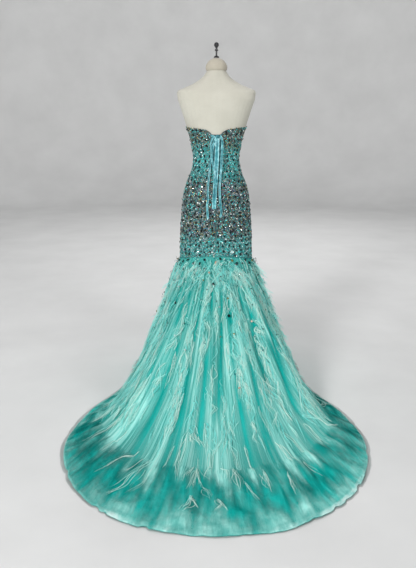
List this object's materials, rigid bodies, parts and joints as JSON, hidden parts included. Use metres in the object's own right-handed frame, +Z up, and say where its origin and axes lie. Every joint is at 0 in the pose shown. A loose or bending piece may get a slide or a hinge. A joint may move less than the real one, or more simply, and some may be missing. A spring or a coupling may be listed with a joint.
{
  "type": "mermaid evening dress on a dress form",
  "caption": "Strapless beaded mermaid gown with a lace-up back, feathered skirt and long train, on a limbless dress form with a round base.",
  "frame": {"origin": "on the floor, at the centre of the flat underside of the form's base", "axes": "+Z up, -Y towards the laced back and the train, +Y towards the bust, +X to the right of the laced back"},
  "size_m": [1.2368, 1.7981, 1.612],
  "materials": {
    "beaded_bodice": "satin sewn all over with small beads and faceted stones",
    "lacing_satin": "satin ribbon",
    "skirt_satin": "satin with a soft sheen",
    "tulle": "fine sheer net",
    "feathers": "pale feather fronds",
    "form_linen": "smooth stretched linen",
    "form_cap": "smooth covered cap",
    "form_dark": "dark gloss paint",
    "form_steel": "brushed"
  },
  "bodies": {
    "root": {"front_centre": "beaded_bodice", "front_side_left": "beaded_bodice", "front_side_right": "beaded_bodice", "back_left": "beaded_bodice", "back_right": "beaded_bodice", "modesty_panel": "lacing_satin", "loop_tape_left": "lacing_satin", "loop_tape_right": "lacing_satin", "lacing": "lacing_satin", "lace_knot": "lacing_satin", "lace_loop": "lacing_satin", "lace_tail_left": "lacing_satin", "lace_tail_middle": "lacing_satin", "lace_tail_right": "lacing_satin", "satin_front": "skirt_satin", "satin_side_front_left": "skirt_satin", "satin_side_front_right": "skirt_satin", "satin_side_left": "skirt_satin", "satin_side_right": "skirt_satin", "satin_side_back_left": "skirt_satin", "satin_side_back_right": "skirt_satin", "satin_train_left": "skirt_satin", "satin_train_right": "skirt_satin", "tulle_front": "tulle", "tulle_left": "tulle", "tulle_right": "tulle", "tulle_back": "tulle", "feathers_front": "feathers", "feathers_left": "feathers", "feathers_right": "feathers", "feathers_back": "feathers", "form_torso": "form_linen", "form_neck_cap": "form_cap", "form_finial": "form_dark", "form_pole": "form_steel", "form_base": "form_dark"}
  },
  "joints": []
}
